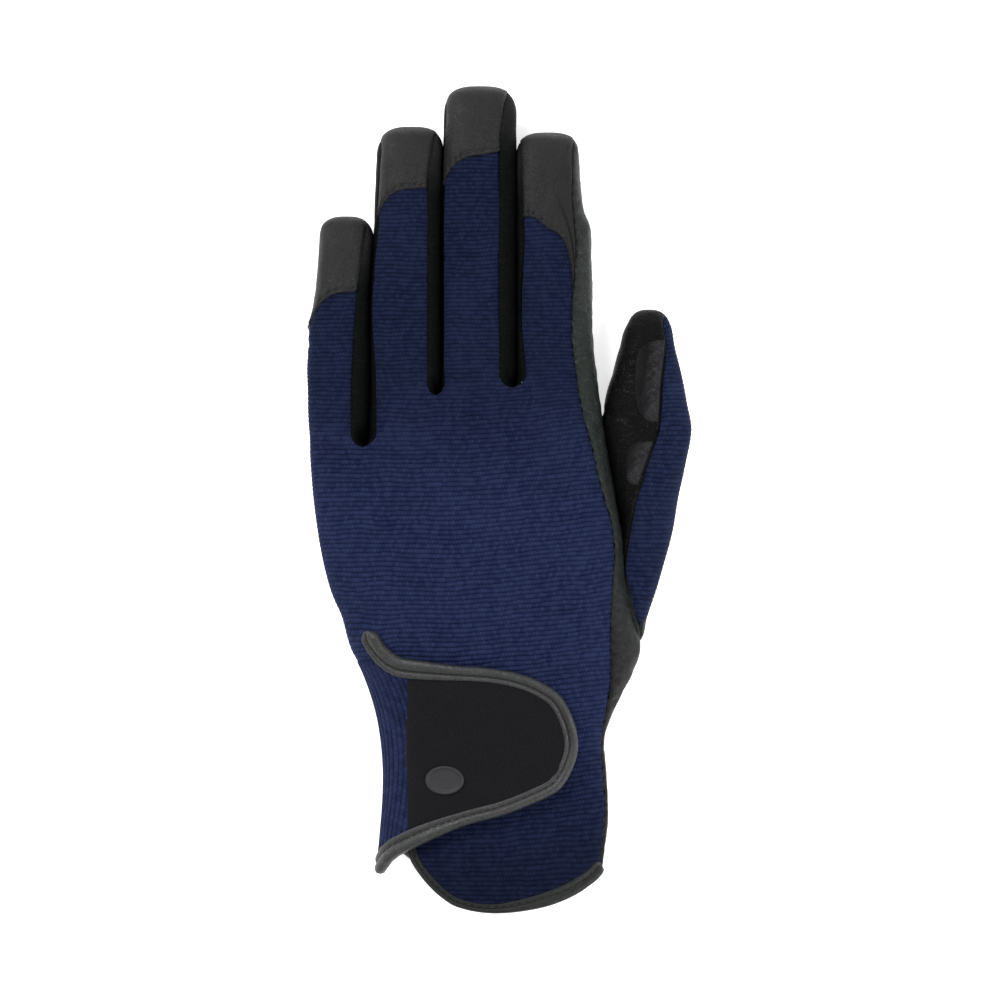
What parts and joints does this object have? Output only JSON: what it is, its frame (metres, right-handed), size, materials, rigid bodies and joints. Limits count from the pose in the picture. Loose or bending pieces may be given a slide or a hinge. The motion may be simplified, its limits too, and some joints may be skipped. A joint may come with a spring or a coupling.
{
  "type": "riding glove",
  "caption": "Left five-finger riding glove with a ribbed knit back, leather palm and fingertips, and a wrapped hook-and-loop wrist strap.",
  "frame": {"origin": "centre of the bounding box, on the plane that the palm lies on", "axes": "+X to the thumb side, +Y to the fingertips, +Z out of the back of the hand"},
  "size_m": [0.1076, 0.2316, 0.0251],
  "materials": {
    "knit": "ribbed stretch knit",
    "leather": "matt grained synthetic leather",
    "grip": "embossed synthetic leather",
    "pad": "brushed",
    "hook": "hook tape",
    "loop": "loop tape",
    "binding": "rolled binding"
  },
  "bodies": {
    "hand": {"back_panel": "knit", "palm_panel": "leather", "thumb_side_strip": "leather", "thumb_root": "leather", "fork_gusset_little_ring": "leather", "fork_gusset_ring_middle": "leather", "fork_gusset_middle_index": "leather", "palm_patch_rein": "grip", "palm_patch_index": "grip", "loop_patch": "loop", "flap_binding": "binding", "palm_hem_binding": "binding"},
    "little_lower": {"little_back_lower": "knit", "little_front_lower": "leather", "little_outer_side_lower": "knit", "little_fourchette_right_lower": "leather"},
    "little_upper": {"little_back_upper": "knit", "little_front_upper": "leather", "little_outer_side_upper": "knit", "little_fourchette_right_upper": "leather", "little_cap": "leather"},
    "ring_lower": {"ring_back_lower": "knit", "ring_front_lower": "leather", "ring_fourchette_left_lower": "leather", "ring_fourchette_right_lower": "leather"},
    "ring_upper": {"ring_back_upper": "knit", "ring_front_upper": "leather", "ring_fourchette_left_upper": "leather", "ring_fourchette_right_upper": "leather", "ring_cap": "leather"},
    "middle_lower": {"middle_back_lower": "knit", "middle_front_lower": "leather", "middle_fourchette_left_lower": "leather", "middle_fourchette_right_lower": "leather"},
    "middle_upper": {"middle_back_upper": "knit", "middle_front_upper": "leather", "middle_fourchette_left_upper": "leather", "middle_fourchette_right_upper": "leather", "middle_cap": "leather"},
    "index_lower": {"index_back_lower": "knit", "index_front_lower": "leather", "index_fourchette_left_lower": "leather", "index_side_wrap_lower": "leather"},
    "index_upper": {"index_back_upper": "knit", "index_front_upper": "leather", "index_fourchette_left_upper": "leather", "index_side_wrap_upper": "leather", "index_cap": "leather"},
    "thumb_lower": {"thumb_front_lower": "leather", "thumb_back_lower": "knit", "thumb_grip_patch_lower": "grip"},
    "thumb_upper": {"thumb_front_upper": "leather", "thumb_back_upper": "knit", "thumb_grip_patch_upper": "grip", "thumb_cap": "leather"},
    "strap": {"strap_base": "knit", "strap_pad": "pad", "hook_patch": "hook", "strap_binding": "binding"}
  },
  "joints": [
    {"name": "little_knuckle", "type": "hinge", "parent": "hand", "child": "little_lower", "pos_m": [-0.0455, 0.0155, 0.0022], "axis": [-1, 0, 0], "range_deg": [0, 80]},
    {"name": "little_middle_joint", "type": "hinge", "parent": "little_lower", "child": "little_upper", "pos_m": [-0.0455, 0.0435, 0.0013], "axis": [-1, 0, 0], "range_deg": [0, 85]},
    {"name": "ring_knuckle", "type": "hinge", "parent": "hand", "child": "ring_lower", "pos_m": [-0.026, 0.0295, 0.0022], "axis": [-1, 0, 0], "range_deg": [0, 80]},
    {"name": "ring_middle_joint", "type": "hinge", "parent": "ring_lower", "child": "ring_upper", "pos_m": [-0.026, 0.062, 0.0013], "axis": [-1, 0, 0], "range_deg": [0, 85]},
    {"name": "middle_knuckle", "type": "hinge", "parent": "hand", "child": "middle_lower", "pos_m": [-0.0058, 0.032, 0.0022], "axis": [-1, 0, 0], "range_deg": [0, 80]},
    {"name": "middle_middle_joint", "type": "hinge", "parent": "middle_lower", "child": "middle_upper", "pos_m": [-0.0058, 0.068, 0.0013], "axis": [-1, 0, 0], "range_deg": [0, 85]},
    {"name": "index_knuckle", "type": "hinge", "parent": "hand", "child": "index_lower", "pos_m": [0.016, 0.032, 0.0022], "axis": [-1, 0, 0], "range_deg": [0, 80]},
    {"name": "index_middle_joint", "type": "hinge", "parent": "index_lower", "child": "index_upper", "pos_m": [0.016, 0.0625, 0.0013], "axis": [-1, 0, 0], "range_deg": [0, 85]},
    {"name": "thumb_spread", "type": "hinge", "parent": "hand", "child": "thumb_lower", "pos_m": [0.0492, -0.008, 0.008], "axis": [0, 0, -1], "range_deg": [0, 30]},
    {"name": "thumb_bend", "type": "hinge", "parent": "thumb_lower", "child": "thumb_upper", "pos_m": [0.0384, 0.02, 0.0167], "axis": [0.9506, 0, 0.3104], "range_deg": [0, 60]},
    {"name": "strap_opening", "type": "hinge", "parent": "hand", "child": "strap", "pos_m": [-0.0374, -0.072, 0.0086], "axis": [0.1164, -0.9932, 0], "range_deg": [0, 150]}
  ]
}
